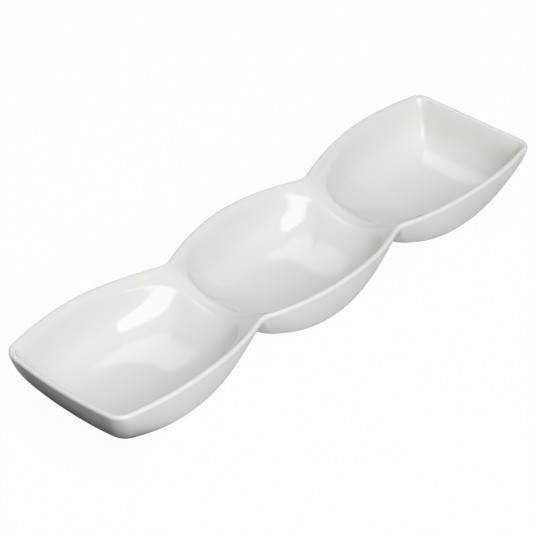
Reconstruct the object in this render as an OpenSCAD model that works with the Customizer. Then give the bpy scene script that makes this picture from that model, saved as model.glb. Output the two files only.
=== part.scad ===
// Divided serving bowl: three rounded-square bowls in a row, cast in one piece with two low
// saddle-shaped dividers, standing on one unglazed foot ring under each bowl.
// Millimetres. X runs along the row of bowls, Y across it, Z up from the table. The origin is
// on the table under the centre of the middle bowl.

/* [Overall] */
// Length over the lip, from end to end
overall_length = 380; // [360:1:400]
// Distance between the centre of the middle bowl and that of each end bowl
bowl_pitch = 134.5; // [128:0.5:140]
// Width over the lip of the middle bowl
middle_bowl_width = 106; // [100:0.5:112]
// Width over the lip of each end bowl
end_bowl_width = 107; // [101:0.5:113]
// Height of the lip above the table, at the middle of the middle bowl's sides
rim_height = 38.5; // [34:0.5:46]

/* [Rim line] */
// Radius of the outward curve of the middle bowl's sides
middle_side_radius = 149; // [130:1:180]
// Radius of the outward curve of the end bowls' sides
end_side_radius = 190; // [160:1:230]
// Radius of the slight outward curve of the two ends
end_edge_radius = 500; // [350:5:900]
// Radius of the four outer corners
corner_radius = 9.5; // [6:0.5:16]
// Radius of the inward curve of the rim at each waist
waist_radius = 13.5; // [8:0.5:22]
// How far the rim dips at each waist
waist_dip = 1.8; // [0:0.1:4]
// How far the rim climbs along the end bowls
end_rise = 1.5; // [0:0.1:4]
// How far the rim sags between the two corners of an end
end_dip = 1.8; // [0:0.1:4]

/* [Walls] */
// Radius of the rounded lip, half the thickness of the wall there
lip_radius = 2; // [1.5:0.1:2.6]
// Thickness of the floor of each bowl
floor_thickness = 4; // [3:0.1:6]
// Angle from upright at which the inside of the wall leaves the lip
inner_lean = 36; // [26:1:42]
// Angle from upright at which the outside of the wall leaves the lip
outer_lean = 10.5; // [2:0.5:20]

/* [Bowl floors] */
// Length of the level part of the middle bowl's floor
middle_floor_length = 24; // [16:1:34]
// Width of the level part of the middle bowl's floor
middle_floor_width = 36; // [24:1:44]
// Length of the level part of an end bowl's floor
end_floor_length = 32; // [20:1:40]
// Width of the level part of an end bowl's floor
end_floor_width = 34; // [24:1:44]
// How far an end bowl's floor sits in from the bowl's centre, towards the middle bowl
end_floor_inset = 3.5; // [0:0.5:8]

/* [Dividers] */
// How far the middle of a divider's crest lies below the rim at the waist
divider_sag = 14; // [8:0.5:16]
// Thickness of the divider under its crest
divider_thickness = 5.5; // [4:0.1:7]
// How far the level top of the crest reaches into a bowl before it turns down
crest_reach = 2; // [1.5:0.5:8]
// Distance along the row over which the sag of the crest dies out
sag_spread = 28; // [18:1:36]
// Radius that rounds the underside of the divider into the lip at the waist
under_edge_round = 4; // [2:0.5:6]

/* [Base] */
// Length of the level underside of the middle bowl
middle_base_length = 67; // [60:1:72]
// Width of the level underside of the middle bowl
middle_base_width = 71.5; // [64:0.5:76]
// Length of the level underside of an end bowl
end_base_length = 66; // [60:1:70]
// Width of the level underside of an end bowl
end_base_width = 67; // [62:1:74]
// How far an end bowl's underside sits in from the bowl's centre, towards the middle bowl
end_base_inset = 9; // [6:0.5:12]
// Height of the foot rings
foot_height = 1.5; // [0.8:0.1:3]
// Width of the unglazed face of the foot rings
foot_width = 3.5; // [2:0.1:6]
// How far the foot rings stand in from the edge of the level underside
foot_inset = 2; // [1:0.5:5]

/* [Hidden] */

// Glazed porcelain, and the bare clay of the foot rings
GLAZE = [0.91, 0.91, 0.89];
BARE_CLAY = [0.86, 0.83, 0.78];

// Rim length over which the upright wall turns into the open saddle at a waist
waist_fade = 30;
// Rim length on each side of a waist over which the inside turns its heading
waist_turn = 20;
// Squareness of the oval outlines: 2 is an ellipse, larger is more square
floor_squareness = 2.2;
base_squareness = 2.35;
// How sharply the crest of a divider flattens out before it meets the rim
crest_squareness = 1.15;
// Shares of the height and of the reach of a wall that shape its curve
inner_drop_share = 0.4;
inner_spread_share = 0.85;
outer_drop_share = 0.4;
outer_spread_share = 0.55;
// The same shares on the flanks of a divider
flank_spread_share = 0.8;
under_reach_share = 0.1;
under_spread_share = 0.6;
// The crest's steps shorten towards the rim
crest_step_power = 1.3;
// Columns of the outside that a step along the inside passes at the foot of a divider
seam_match_share = 0.6;

// Number of steps along each stretch of the rim, round the lip and down a wall
CREST_STEPS = 8;
UNDER_EDGE_STEPS = 3;
WAIST_STEPS = 5;
SIDE_STEPS = 12;
CORNER_STEPS = 6;
END_STEPS = 6;
LIP_STEPS = 4;
WALL_STEPS = 9;
// Ring of the mesh at which a divider is parted from its two bowls
SEAM_RING = LIP_STEPS + 5;
// Last column of a divider, counted from the middle of its crest
SEAM_COLUMN = CREST_STEPS + WAIST_STEPS;
// Column of the outside that lies under the inner corner of the divider's foot
SEAM_CORNER = CREST_STEPS - UNDER_EDGE_STEPS;
RING_COUNT = LIP_STEPS + WALL_STEPS + 1;
// Columns that a fillet takes up before and after the waist: in the valley where a divider meets
// the inside of a side, and on the ridge where a channel under a divider meets the outside
VALLEY_BEFORE = 5;
VALLEY_AFTER = 7;
RIDGE_BEFORE = 4;
RIDGE_AFTER = 6;
// Rings below the lip over which a fillet widens
FILLET_RINGS = 5;
FOOT_POINTS = 96;

// The rim line is the top of the lip, half a wall inside the outer edge
line_half_length = overall_length / 2 - lip_radius;
middle_line_half = middle_bowl_width / 2 - lip_radius;
end_line_half = end_bowl_width / 2 - lip_radius;
floor_height = foot_height + floor_thickness;

// Centres of the arcs of the rim line, in the quarter with positive X and Y
middle_arc_centre = [0, middle_line_half - middle_side_radius];
end_arc_centre = [bowl_pitch, end_line_half - end_side_radius];
edge_arc_centre = [line_half_length - end_edge_radius, 0];
waist_arc_centre = circles_meet(
    middle_arc_centre, middle_side_radius + waist_radius,
    end_arc_centre, end_side_radius + waist_radius
);
corner_arc_centre = circles_meet(
    end_arc_centre, end_side_radius - corner_radius,
    edge_arc_centre, end_edge_radius - corner_radius
);

// Points where the arcs run into each other
waist_x = waist_arc_centre.x;
waist_half = waist_arc_centre.y - waist_radius;
waist_point = [waist_x, waist_half];
middle_side_end = along(middle_arc_centre, waist_arc_centre, middle_side_radius);
end_side_start = along(end_arc_centre, waist_arc_centre, end_side_radius);
end_side_end = along(end_arc_centre, corner_arc_centre, end_side_radius);
edge_start = along(edge_arc_centre, corner_arc_centre, end_edge_radius);

// A bowl: sign of its divider's side, centres and half sizes of its floor and of its base
MIDDLE = [
    1,
    0, [middle_floor_length / 2, middle_floor_width / 2],
    0, [middle_base_length / 2, middle_base_width / 2]
];
END = [
    -1,
    bowl_pitch - end_floor_inset, [end_floor_length / 2, end_floor_width / 2],
    bowl_pitch - end_base_inset, [end_base_length / 2, end_base_width / 2]
];

function unit(v) = v / norm(v);
function heading(v) = atan2(v.y, v.x);
function wrapped(t) = t - 360 * floor((t + 180) / 360);
function along(from, towards, length) = from + unit(towards - from) * length;
function blend(a, b, share) = a * (1 - share) + b * share;
function flatten(lists) = [for (list = lists) each list];

// Smooth step from 0 to 1
function eased(t) =
    let (u = min(1, max(0, t)))
    u * u * (3 - 2 * u);

// The point with the larger Y where two circles meet
function circles_meet(a, radius_a, b, radius_b) =
    let (
        gap = norm(b - a),
        u = (b - a) / gap,
        reach = (radius_a * radius_a - radius_b * radius_b + gap * gap) / (2 * gap),
        off = sqrt(max(0, radius_a * radius_a - reach * reach)),
        side = [-u.y, u.x] * off,
        foot = a + u * reach
    )
    side.y > 0 ? foot + side : foot - side;

// Samples of the rim line are [point, outward normal, distance from the waist].
// This is a run of them along an arc, after its start. facing is -1 on an inward curve.
function arc_samples(centre, radius, from, to, steps, start, facing = 1) =
    let (
        first = heading(from - centre),
        turn = wrapped(heading(to - centre) - first)
    )
    [
        for (i = [1:steps])
            let (
                angle = first + turn * i / steps,
                ray = [cos(angle), sin(angle)]
            )
            [centre + radius * ray, facing * ray, start + radius * abs(turn) * PI / 180 * i / steps]
    ];

function last_distance(samples) = samples[len(samples) - 1][2];

// The crest of a divider, from its middle to the waist
function crest_samples(sign) =
    [
        for (i = [0:CREST_STEPS])
            let (y = waist_half * (1 - pow(1 - i / CREST_STEPS, crest_step_power)))
            [[waist_x, y], [sign, 0], y - waist_half]
    ];

// A quarter of the middle bowl's outline, from the middle of the crest to the middle of its side
function middle_samples() =
    let (
        waist = arc_samples(
            waist_arc_centre, waist_radius, waist_point, middle_side_end, WAIST_STEPS, 0, -1
        ),
        side = arc_samples(
            middle_arc_centre, middle_side_radius, middle_side_end, [0, middle_line_half],
            SIDE_STEPS, last_distance(waist)
        )
    )
    concat(crest_samples(1), waist, side);

// Half of an end bowl's outline, from the middle of the crest to the middle of the end
function end_samples() =
    let (
        waist = arc_samples(
            waist_arc_centre, waist_radius, waist_point, end_side_start, WAIST_STEPS, 0, -1
        ),
        side = arc_samples(
            end_arc_centre, end_side_radius, end_side_start, end_side_end,
            SIDE_STEPS, last_distance(waist)
        ),
        corner = arc_samples(
            corner_arc_centre, corner_radius, end_side_end, edge_start,
            CORNER_STEPS, last_distance(side)
        ),
        edge = arc_samples(
            edge_arc_centre, end_edge_radius, edge_start, [line_half_length, 0],
            END_STEPS, last_distance(corner)
        )
    )
    concat(crest_samples(-1), waist, side, corner, edge);

// Half width of the rim line at a place along the row
function half_width(x) =
    x < middle_side_end.x ? middle_arc_centre.y + sqrt(pow(middle_side_radius, 2) - x * x)
    : x < end_side_start.x ? waist_arc_centre.y - sqrt(pow(waist_radius, 2) - pow(x - waist_x, 2))
    : end_arc_centre.y + sqrt(pow(end_side_radius, 2) - pow(min(x, end_side_end.x) - bowl_pitch, 2));

// Height of the rim along the sides
function side_height(x) =
    x < waist_x ? rim_height - waist_dip * eased(x / waist_x)
    : rim_height - waist_dip
        + (waist_dip + end_rise) * eased((x - waist_x) / (bowl_pitch - waist_x));

// Height of the surface that is stretched over the rim: it sags over the dividers and at the ends
function guide_height(p) =
    let (
        across = max(0, 1 - pow(p.y / half_width(p.x), 2)),
        sag = divider_sag * exp(-pow((p.x - waist_x) / sag_spread, 2)) * pow(across, crest_squareness),
        past_centre = eased((p.x - bowl_pitch) / (line_half_length - bowl_pitch)),
        dip = end_dip * past_centre * max(0, 1 - pow(p.y / end_side_end.y, 2))
    )
    side_height(p.x) - sag - dip;

// The point of an oval in the direction of v, and its outward normal there
function oval_point(v, half, power) =
    let (u = unit(v))
    u * pow(pow(abs(u.x) / half.x, power) + pow(abs(u.y) / half.y, power), -1 / power);
function oval_normal(p, half, power) =
    unit([
        sign(p.x) * pow(abs(p.x) / half.x, power - 1) / half.x,
        sign(p.y) * pow(abs(p.y) / half.y, power - 1) / half.y
    ]);

function curve_point(a, b, c, d, t) =
    a * pow(1 - t, 3) + b * 3 * t * pow(1 - t, 2) + c * 3 * t * t * (1 - t) + d * pow(t, 3);

// How open the wall is: 1 on the crest, fading to 0 along the rim
function openness(distance) = 1 - eased(distance / waist_fade);

// Outward heading of the inside, which turns from along the row to across it past the waist
function inner_heading(sample, crest_sign) =
    let (
        quarter = 90 * eased((sample[2] + waist_turn) / (2 * waist_turn)),
        rim = sample[2] <= 0 ? [0, 1] : sample[1]
    )
    unit([crest_sign, 0] * cos(quarter) + rim * sin(quarter));

// Inside of a wall, from the top of the lip to the edge of the level floor
function inner_column(sample, bowl) =
    let (
        open = openness(sample[2]),
        out = inner_heading(sample, bowl[0]),
        roll = max((90 - inner_lean) * (1 - open), 0.1),
        roll_radius = lip_radius * 90 / roll,
        lip = [
            for (k = [0:LIP_STEPS])
                let (
                    angle = roll * k / LIP_STEPS,
                    p = sample[0] - out * roll_radius * sin(angle)
                )
                [p.x, p.y, guide_height(p) - roll_radius * (1 - cos(angle))]
        ],
        start = lip[LIP_STEPS],
        start_guide = guide_height([start.x, start.y]),
        centre = [bowl[1], 0],
        reach_line = [start.x, start.y] - centre,
        edge = oval_point(reach_line, bowl[2], floor_squareness),
        edge_out = oval_normal(edge, bowl[2], floor_squareness),
        floor_edge = centre + edge,
        reach = norm(reach_line - edge),
        drop = blend(inner_drop_share * (start.z - floor_height), crest_reach, open),
        spread = blend(inner_spread_share, flank_spread_share, open) * reach,
        down = [-out.x * cos(roll), -out.y * cos(roll), -sin(roll)],
        end = [floor_edge.x, floor_edge.y, floor_height],
        end_handle = [end.x + edge_out.x * spread, end.y + edge_out.y * spread, floor_height],
        wall = [
            for (k = [1:WALL_STEPS])
                let (
                    t = k / WALL_STEPS,
                    p = curve_point(start, start + down * drop, end_handle, end, t),
                    guide = guide_height([p.x, p.y]) - start_guide
                )
                [p.x, p.y, p.z + guide * (1 - eased(t))]
        ]
    )
    concat(lip, wall);

// Underside of the crest of a divider, rounded into the edge of the lip at the waist
function under_crest(y, edge_y, edge_z, share) =
    let (
        level = guide_height([waist_x, min(y, waist_half)]) - divider_thickness,
        edge_level = guide_height([waist_x, waist_half]) - divider_thickness
    )
    level + (edge_z - edge_level) * share;

// Angle round the lip at each outer step: it passes the widest point before the wall leaves it
function lip_angle(k) = k < LIP_STEPS ? 90 * k / (LIP_STEPS - 1) : 90 + outer_lean;

// Outside of a wall, from the top of the lip round its edge and down to the level underside.
// A crest column has no lip: it starts on the underside of the crest.
function outer_column(sample, index, bowl) =
    let (
        open = openness(sample[2]),
        top = guide_height(sample[0]),
        edge_y = waist_half + lip_radius * cos(outer_lean),
        edge_z = guide_height(waist_point) - lip_radius * (1 + sin(outer_lean)),
        lip = [
            for (k = [0:LIP_STEPS])
                let (p = sample[0] + sample[1] * lip_radius * sin(lip_angle(k)))
                [p.x, p.y, top - lip_radius * (1 - cos(lip_angle(k)))]
        ],
        waist_lip = [
            for (k = [0:LIP_STEPS])
                [
                    waist_x, waist_half + lip_radius * sin(lip_angle(k)),
                    top - lip_radius * (1 - cos(lip_angle(k)))
                ]
        ],
        level_steps = CREST_STEPS - UNDER_EDGE_STEPS,
        level_half = edge_y - under_edge_round,
        bend = 90 * max(0, index - level_steps) / UNDER_EDGE_STEPS,
        under_y = index <= level_steps ? level_half * index / level_steps
            : level_half + under_edge_round * sin(bend),
        under = [waist_x, under_y, under_crest(under_y, edge_y, edge_z, 1 - cos(bend))],
        rim = index < CREST_STEPS ? [for (k = [0:LIP_STEPS]) under]
            : index == CREST_STEPS ? waist_lip
            : lip,
        start = rim[LIP_STEPS],
        away = index <= CREST_STEPS ? [-bowl[0], 0]
            : [sample[1].y, -sample[1].x] * -bowl[0],
        downhill = index <= CREST_STEPS
            ? unit([0, -under_edge_round * cos(bend), -divider_thickness * max(sin(bend), 0.01)])
            : [-sample[1].x * sin(outer_lean), -sample[1].y * sin(outer_lean), -cos(outer_lean)],
        turn = index <= CREST_STEPS ? bend / 2 : 45 * (1 + eased(sample[2] / waist_fade)),
        down = unit([away.x, away.y, 0] * cos(turn) + downhill * sin(turn)),
        centre = [bowl[3], 0],
        reach_line = [start.x, start.y] - centre,
        edge = oval_point(reach_line, bowl[4], base_squareness),
        edge_out = oval_normal(edge, bowl[4], base_squareness),
        base_edge = centre + edge,
        reach = norm(reach_line - edge),
        drop = blend(outer_drop_share * (start.z - foot_height), under_reach_share * reach, open),
        spread = blend(outer_spread_share, under_spread_share, open) * reach,
        end = [base_edge.x, base_edge.y, foot_height],
        end_handle = [end.x + edge_out.x * spread, end.y + edge_out.y * spread, foot_height],
        wall = [
            for (k = [1:WALL_STEPS])
                curve_point(start, start + down * drop, end_handle, end, k / WALL_STEPS)
        ]
    )
    concat(rim, wall);

function flipped(columns, flip) =
    [for (column = columns) [for (p = column) [p.x * flip.x, p.y * flip.y, p.z]]];
function backwards(list, from, to) = [for (i = [from:-1:to]) list[i]];

// Columns all the way round an end bowl, from a half that ends at the middle of the end
function round_end(half) =
    concat(half, flipped(backwards(half, len(half) - 2, 1), [1, -1]));

// Columns all the way round the middle bowl, from a quarter that ends at the middle of a side
function round_middle(quarter) =
    let (
        upper = concat(quarter, flipped(backwards(quarter, len(quarter) - 2, 0), [-1, 1]))
    )
    concat(upper, flipped(backwards(upper, len(upper) - 2, 1), [1, -1]));

// A point of a ring, also between two columns
function on_ring(columns, i, k) =
    let (before = floor(i), after = min(before + 1, len(columns) - 1))
    blend(columns[before][k], columns[after][k], i - before);

// How far a column lies along the fillet between two others
function fillet_share(i, first, last) =
    i < CREST_STEPS ? (i - first) / (2 * (CREST_STEPS - first))
    : 1 - (last - i) / (2 * (last - CREST_STEPS));

// Columns with a fillet along the waist's column. It widens down from the lip, to some columns
// before the waist, on the divider, and some columns after it, on the side.
function filleted(columns, before, after) =
    [
        for (i = [0:len(columns) - 1])
            [
                for (k = [0:RING_COUNT - 1])
                    let (
                        width = min(max((k - LIP_STEPS) / FILLET_RINGS, 0), 1),
                        first = CREST_STEPS - before * width,
                        last = CREST_STEPS + after * width,
                        corner = columns[CREST_STEPS][k]
                    )
                    i <= first || i >= last ? columns[i][k]
                    : let (share = fillet_share(i, first, last))
                        blend(
                            blend(on_ring(columns, first, k), corner, share),
                            blend(corner, on_ring(columns, last, k), share),
                            share
                        )
            ]
    ];

function inner_columns(samples, bowl) =
    filleted([for (s = samples) inner_column(s, bowl)], VALLEY_BEFORE, VALLEY_AFTER);
function outer_columns(samples, bowl) =
    filleted(
        [for (i = [0:len(samples) - 1]) outer_column(samples[i], i, bowl)],
        RIDGE_BEFORE, RIDGE_AFTER
    );

// Two triangles, or their backs
function pair(a, b, c, d, back) = back ? [[c, b, a], [d, c, a]] : [[a, b, c], [a, c, d]];

// Column of the outside that meets a column of the inside along the foot of a divider
function matched(column) = min(round(column * seam_match_share), SEAM_CORNER);

// The seam along the foot of a divider. Its columns are counted from the middle of the crest, and
// the two functions give the number of the point that a column has on the seam's ring.
function foot_seam(inner_at, outer_at, back) =
    concat(
        [
            for (side = [-1, 1], i = [0:SEAM_COLUMN - 1])
                each pair(
                    inner_at(side * i), inner_at(side * (i + 1)),
                    outer_at(side * matched(i + 1)), outer_at(side * matched(i)),
                    side > 0 ? back : !back
                )
        ],
        [
            for (side = [-1, 1], j = [SEAM_CORNER:SEAM_COLUMN - 1])
                let (
                    a = inner_at(side * SEAM_COLUMN),
                    b = outer_at(side * (side > 0 ? j + 1 : j)),
                    c = outer_at(side * (side > 0 ? j : j + 1))
                )
                back ? [c, b, a] : [a, b, c]
        ]
    );

// A bowl as one closed mesh: inside, lip, outside, and the seams to its dividers. Each crest is the
// number of the column at the middle of a divider.
module bowl_mesh(inner, outer, crests, floor_x, base_x, back) {
    count = len(inner);
    all_outer = count * RING_COUNT;
    floor_centre = 2 * all_outer;
    base_centre = floor_centre + 1;
    last = RING_COUNT - 1;
    function at_inner(i, k) = i * RING_COUNT + k;
    function at_outer(i, k) = k == 0 ? at_inner(i, 0) : all_outer + i * RING_COUNT + k;
    function next(i) = (i + 1) % count;
    // Columns from a crest, between half the count before it and half after it
    function past(i, crest) = (i - crest + floor(1.5 * count)) % count - floor(count / 2);
    function open_cell(i) =
        len([for (c = crests) if (past(i, c) >= -SEAM_COLUMN && past(i, c) < SEAM_COLUMN) c]) > 0;
    inside = [
        for (i = [0:count - 1], k = [(open_cell(i) ? SEAM_RING : 0):last - 1])
            each pair(
                at_inner(i, k), at_inner(next(i), k),
                at_inner(next(i), k + 1), at_inner(i, k + 1), back
            )
    ];
    outside = [
        for (i = [0:count - 1], k = [(open_cell(i) ? SEAM_RING : 0):last - 1])
            each pair(
                at_outer(i, k), at_outer(next(i), k),
                at_outer(next(i), k + 1), at_outer(i, k + 1), !back
            )
    ];
    ring_seams = [
        for (crest = crests)
            each foot_seam(
                function (i) at_inner((crest + i + count) % count, SEAM_RING),
                function (i) at_outer((crest + i + count) % count, SEAM_RING),
                !back
            )
    ];
    column_seams = [
        for (crest = crests, side = [-1, 1], k = [0:SEAM_RING - 1])
            let (i = (crest + side * SEAM_COLUMN + count) % count)
            each pair(
                at_inner(i, k + 1), at_outer(i, k + 1), at_outer(i, k), at_inner(i, k),
                side < 0 ? !back : back
            )
    ];
    fans = [
        for (i = [0:count - 1])
            each [
                back ? [floor_centre, at_inner(next(i), last), at_inner(i, last)]
                    : [at_inner(i, last), at_inner(next(i), last), floor_centre],
                back ? [at_outer(i, last), at_outer(next(i), last), base_centre]
                    : [base_centre, at_outer(next(i), last), at_outer(i, last)]
            ]
    ];
    points = concat(
        flatten(inner), flatten(outer), [[floor_x, 0, floor_height], [base_x, 0, foot_height]]
    );
    faces = concat(inside, outside, ring_seams, column_seams, fans);
    polyhedron(points = points, faces = [for (f = faces) if (whole(f)) f], convexity = 6);
}

// A face keeps three different corners
function whole(f) = f[0] != f[1] && f[1] != f[2] && f[2] != f[0];

module middle_bowl() {
    samples = middle_samples();
    color(GLAZE)
        bowl_mesh(
            round_middle(inner_columns(samples, MIDDLE)),
            round_middle(outer_columns(samples, MIDDLE)),
            [0, 2 * (len(samples) - 1)], MIDDLE[1], MIDDLE[3], true
        );
}

module right_bowl() {
    samples = end_samples();
    color(GLAZE)
        bowl_mesh(
            round_end(inner_columns(samples, END)),
            round_end(outer_columns(samples, END)),
            [0], END[1], END[3], false
        );
}

module left_bowl() {
    mirror([1, 0, 0]) right_bowl();
}

// The columns of a divider on one side of its crest, from one seam column to the other
function divider_columns(half) =
    let (kept = [for (i = [0:SEAM_COLUMN]) half[i]])
    concat(flipped(backwards(kept, SEAM_COLUMN, 1), [1, -1]), kept);

module right_divider() {
    middle = middle_samples();
    end = end_samples();
    sheets = [
        divider_columns(inner_columns(middle, MIDDLE)),
        divider_columns(outer_columns(middle, MIDDLE)),
        divider_columns(inner_columns(end, END)),
        divider_columns(outer_columns(end, END))
    ];
    count = 2 * SEAM_COLUMN + 1;
    sheet_size = count * RING_COUNT;
    function from_middle(i) = abs(i - SEAM_COLUMN);
    function on_crest(i) = from_middle(i) <= CREST_STEPS;
    function at_waist(i) = from_middle(i) == CREST_STEPS;
    // Side 0 is the middle bowl's, side 1 the end bowl's. What lies on the crest is shared.
    function at_inner(side, i, k) =
        (k == 0 && on_crest(i) ? 0 : 2 * side) * sheet_size + i * RING_COUNT + k;
    function at_outer(side, i, k) =
        let (shared = (k == LIP_STEPS && on_crest(i)) || (k <= LIP_STEPS && at_waist(i)))
        k == 0 ? at_inner(side, i, 0)
        : ((shared ? 0 : 2 * side) + 1) * sheet_size + i * RING_COUNT + k;
    function lip_cell(i) = from_middle(i) >= CREST_STEPS && from_middle(i + 1) >= CREST_STEPS;
    top = [
        for (side = [0, 1], i = [0:count - 2], k = [0:SEAM_RING - 1])
            each pair(
                at_inner(side, i, k), at_inner(side, i + 1, k),
                at_inner(side, i + 1, k + 1), at_inner(side, i, k + 1), side == 0
            )
    ];
    bottom = [
        for (side = [0, 1], i = [0:count - 2], k = [(lip_cell(i) ? 0 : LIP_STEPS):SEAM_RING - 1])
            each pair(
                at_outer(side, i, k), at_outer(side, i + 1, k),
                at_outer(side, i + 1, k + 1), at_outer(side, i, k + 1), side == 1
            )
    ];
    ring_seams = [
        for (side = [0, 1])
            each foot_seam(
                function (i) at_inner(side, i + SEAM_COLUMN, SEAM_RING),
                function (i) at_outer(side, i + SEAM_COLUMN, SEAM_RING),
                side == 0
            )
    ];
    column_seams = [
        for (side = [0, 1], i = [0, count - 1], k = [0:SEAM_RING - 1])
            each pair(
                at_inner(side, i, k + 1), at_outer(side, i, k + 1),
                at_outer(side, i, k), at_inner(side, i, k), (i == 0) == (side == 0)
            )
    ];
    faces = concat(top, bottom, ring_seams, column_seams);
    color(GLAZE)
        polyhedron(
            points = flatten([for (sheet = sheets) flatten(sheet)]),
            faces = [for (f = faces) if (whole(f)) f],
            convexity = 6
        );
}

module left_divider() {
    mirror([1, 0, 0]) right_divider();
}

// An oval outline of the level underside, drawn in by an inset
module base_oval(half, inset) {
    polygon([
        for (i = [0:FOOT_POINTS - 1])
            let (angle = 360 * i / FOOT_POINTS)
            oval_point([cos(angle), sin(angle)], [half.x - inset, half.y - inset], base_squareness)
    ]);
}

module foot_ring(bowl) {
    translate([bowl[3], 0, 0])
        linear_extrude(height = foot_height)
            difference() {
                base_oval(bowl[4], foot_inset);
                base_oval(bowl[4], foot_inset + foot_width);
            }
}

module middle_foot_ring() {
    color(BARE_CLAY) foot_ring(MIDDLE);
}

module right_foot_ring() {
    color(BARE_CLAY) foot_ring(END);
}

module left_foot_ring() {
    mirror([1, 0, 0]) right_foot_ring();
}

left_bowl();
middle_bowl();
right_bowl();
left_divider();
right_divider();
left_foot_ring();
middle_foot_ring();
right_foot_ring();
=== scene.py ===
"""Looks of the divided serving bowl: one glossy white porcelain casting with bare foot rings.

Everything is in metres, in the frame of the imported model: X runs along the row of bowls, Y
across it, and Z up from the table.
"""

import logging
import math
from collections.abc import Callable
from dataclasses import dataclass, field, fields
from enum import Enum
from functools import partial

import bpy
import numpy as np
from mathutils import Matrix, Vector


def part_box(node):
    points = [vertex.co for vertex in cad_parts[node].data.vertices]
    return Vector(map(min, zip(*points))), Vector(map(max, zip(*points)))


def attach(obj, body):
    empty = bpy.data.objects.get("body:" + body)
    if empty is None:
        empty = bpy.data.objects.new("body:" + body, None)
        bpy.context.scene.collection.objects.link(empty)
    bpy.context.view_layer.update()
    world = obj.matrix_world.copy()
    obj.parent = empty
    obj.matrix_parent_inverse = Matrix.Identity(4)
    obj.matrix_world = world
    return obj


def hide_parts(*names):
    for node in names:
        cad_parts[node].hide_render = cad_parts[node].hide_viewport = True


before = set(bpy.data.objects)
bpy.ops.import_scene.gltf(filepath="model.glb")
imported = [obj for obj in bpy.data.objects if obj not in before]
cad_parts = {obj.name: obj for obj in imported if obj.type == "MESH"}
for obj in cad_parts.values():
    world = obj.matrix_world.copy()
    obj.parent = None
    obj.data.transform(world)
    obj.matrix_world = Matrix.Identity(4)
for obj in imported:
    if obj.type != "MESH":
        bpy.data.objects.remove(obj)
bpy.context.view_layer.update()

LOG = logging.getLogger("serving_bowl")
MM = 0.001
WHITE = (1.0, 1.0, 1.0, 1.0)
BODY = "root"
# Every CAD step along the rim and down a wall becomes this many
FINENESS = 3
# Points closer than this are one point of the dish when its normals are worked out
WELD_GRID = 0.002 * MM
# Digits to which a packed box in metres is exact
BOX_DIGITS = 5
# Keeps a division from meeting zero
TINY = 1e-30
QUARTER_TURN = math.pi / 2

Array = np.ndarray
Socket = bpy.types.NodeSocket
Tone = tuple[float, float, float, float]


class BowlKind(Enum):
    """The two shapes of bowl in the row."""

    MIDDLE = "middle"
    END = "end"


class RecordSlot(Enum):
    """Material slots of the record."""

    WHITE_GLAZE = "white_glaze"
    BARE_CLAY = "bare_clay"


def eased(share: Array) -> Array:
    """Smooth step that is 0 before share 0 and 1 after share 1."""
    u = np.clip(share, 0.0, 1.0)
    return u * u * (3.0 - 2.0 * u)


def blend(first: Array, second: Array, share: Array) -> Array:
    """Mix of two values, from the first at share 0 to the second at share 1."""
    return first * (1.0 - share) + second * share


def unit(vectors: Array) -> Array:
    """Vectors of length 1 along the last axis."""
    return vectors / np.linalg.norm(vectors, axis=-1, keepdims=True)


def raised(plan: Array, height: Array | float) -> Array:
    """Points or ways in plan, with heights as their third coordinate."""
    return np.concatenate([plan, np.broadcast_to(height, plan.shape[:-1])[..., None]], axis=-1)


def wrapped(angle: float) -> float:
    """The same angle between minus half a turn and half a turn, in radians."""
    return (angle + math.pi) % (2.0 * math.pi) - math.pi


def circles_meet(a: Array, radius_a: float, b: Array, radius_b: float) -> Array:
    """The point with the larger Y where two circles meet.

    Args:
        a: Centre of the first circle.
        radius_a: Its radius.
        b: Centre of the second circle.
        radius_b: Its radius.

    Returns:
        The point where they meet.
    """
    gap = float(np.linalg.norm(b - a))
    along = (b - a) / gap
    reach = (radius_a**2 - radius_b**2 + gap**2) / (2.0 * gap)
    off = math.sqrt(max(0.0, radius_a**2 - reach**2))
    side = np.array([-along[1], along[0]]) * off
    foot = a + along * reach
    return foot + side if side[1] > 0 else foot - side


def toward(start: Array, target: Array, length: float) -> Array:
    """The point at a distance from start on the way to target."""
    return start + unit(target - start) * length


@dataclass
class RimRun:
    """A run of samples along the rim line."""

    point: Array
    normal: Array
    distance: Array

    def joined(self, other: "RimRun") -> "RimRun":
        """This run with another one after it."""
        pairs = ((getattr(self, f.name), getattr(other, f.name)) for f in fields(self))
        return RimRun(*map(np.concatenate, pairs))


@dataclass(frozen=True)
class BowlPlan:
    """Plan of one bowl: the ovals of its floor and of its base, and the way to its divider."""

    divider_sign: float
    floor_x: float
    floor_half: tuple[float, float]
    base_x: float
    base_half: tuple[float, float]


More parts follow.
